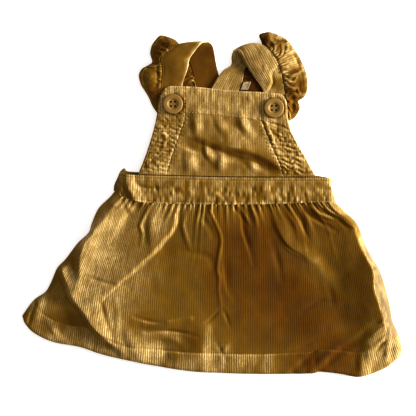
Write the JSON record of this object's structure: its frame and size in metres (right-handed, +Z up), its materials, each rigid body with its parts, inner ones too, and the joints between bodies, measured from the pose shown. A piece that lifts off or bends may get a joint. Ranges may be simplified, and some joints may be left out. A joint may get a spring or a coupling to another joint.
{
  "type": "pinafore dress",
  "caption": "baby's corduroy pinafore dress laid flat: gathered skirt, shaped bib, buttoned straps with ruffles crossed at the back",
  "frame": {"origin": "centre of the dress's bounding box, on the surface that it lies on", "axes": "+X to the wearer's left as it lies face up, the longest side; +Y from hem to straps; +Z up from the surface, the shortest side"},
  "size_m": [0.38, 0.3444, 0.0179],
  "materials": {
    "corduroy": "cotton corduroy with 11 wales to the inch, mustard, cut pile with a soft sheen",
    "corduroy_inside": "the same corduroy on the side that lies down, darker",
    "button_plastic": "moulded mustard plastic, satin",
    "label_cloth": "plain woven tape, off-white, blank"
  },
  "bodies": {
    "root": {"skirt_front": "corduroy", "skirt_back": "corduroy_inside", "waistband_front": "corduroy", "waistband_back": "corduroy_inside", "bib_centre": "corduroy", "bib_side_left": "corduroy", "bib_side_right": "corduroy", "strap_left": "corduroy", "strap_right": "corduroy", "ruffle_left": "corduroy", "ruffle_right": "corduroy", "button_left": "button_plastic", "button_right": "button_plastic", "label": "label_cloth"}
  },
  "joints": []
}
